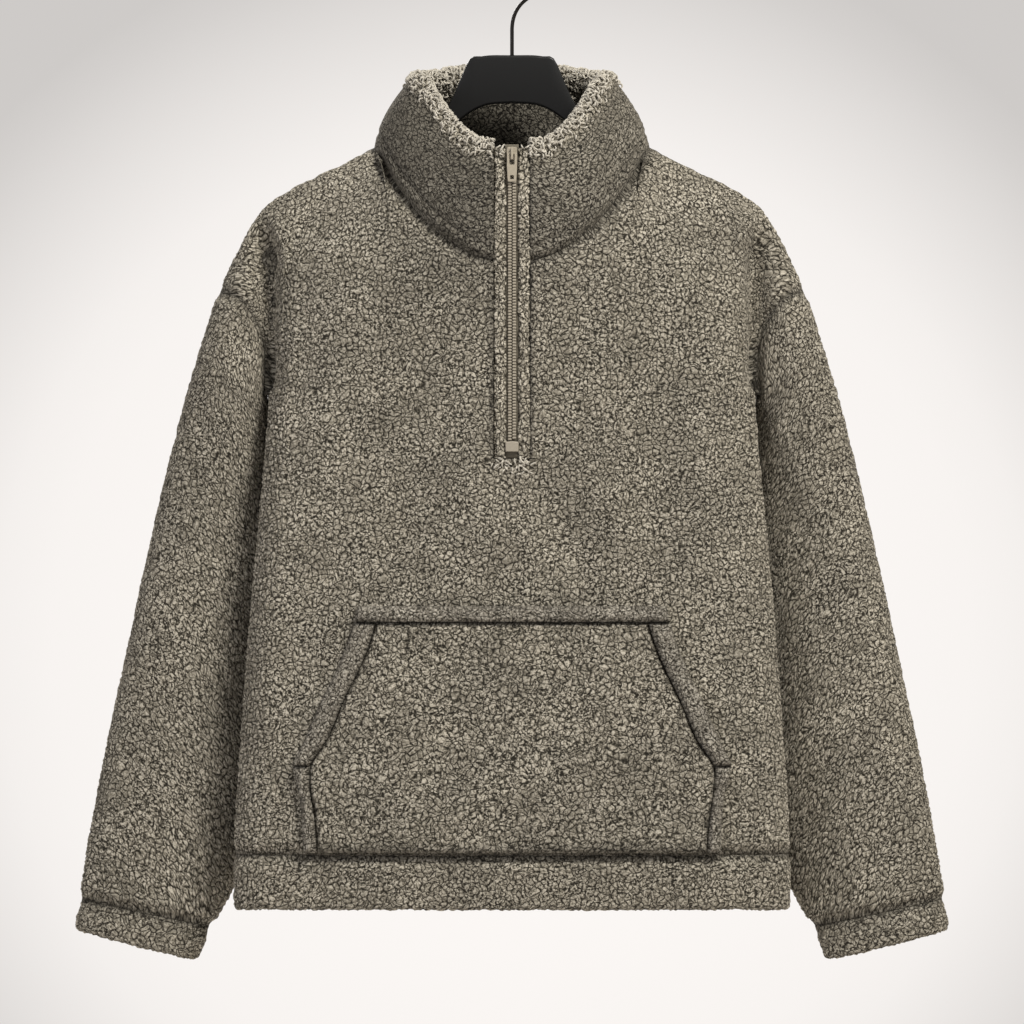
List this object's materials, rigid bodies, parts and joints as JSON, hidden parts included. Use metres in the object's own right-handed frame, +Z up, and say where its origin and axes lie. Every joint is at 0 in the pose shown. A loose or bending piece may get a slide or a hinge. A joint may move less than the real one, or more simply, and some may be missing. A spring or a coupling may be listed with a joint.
{
  "type": "half-zip pullover on a hanger",
  "caption": "Half-zip pullover of thick sherpa fleece with stand collar, drop shoulders, kangaroo pocket, cuffs and hem band, hung on a plain black hanger with a wire hook.",
  "frame": {"origin": "inside of the hook's crown, where a rail carries the hanger", "axes": "+Z up, the garment's front faces -Y, +X to the right of someone looking at its front"},
  "size_m": [0.746, 0.1489, 0.8601],
  "materials": {
    "sherpa": "thick curly sherpa fleece, grey-taupe, matt",
    "zip_tape": "woven polyester zip tape, taupe",
    "zip_teeth": "moulded zip teeth, taupe, satin",
    "zip_metal": "cast zinc slider and pull tab, satin taupe enamel",
    "hanger_plastic": "black moulded plastic, satin",
    "hanger_wire": "steel wire, black"
  },
  "bodies": {
    "garment": {"front": "sherpa", "back": "sherpa", "sleeve_left": "sherpa", "sleeve_right": "sherpa", "collar": "sherpa", "hem_band": "sherpa", "cuff_left": "sherpa", "cuff_right": "sherpa", "pocket": "sherpa", "pocket_top_band": "sherpa", "pocket_opening_left": "sherpa", "pocket_opening_right": "sherpa", "pocket_side_left": "sherpa", "pocket_side_right": "sherpa", "placket_left": "sherpa", "placket_right": "sherpa", "zip_tape": "zip_tape", "zip_stop": "zip_tape", "zip_chain": "zip_teeth", "zip_slider": "zip_metal", "hanger": "hanger_plastic", "hanger_hook": "hanger_wire"},
    "zip_pull": {"zip_pull_tab": "zip_metal"}
  },
  "joints": [
    {"name": "pull_tab_hinge", "type": "hinge", "parent": "garment", "child": "zip_pull", "pos_m": [0, -0.072, -0.1739], "axis": [-1, 0, 0], "range_deg": [0, 150]}
  ]
}
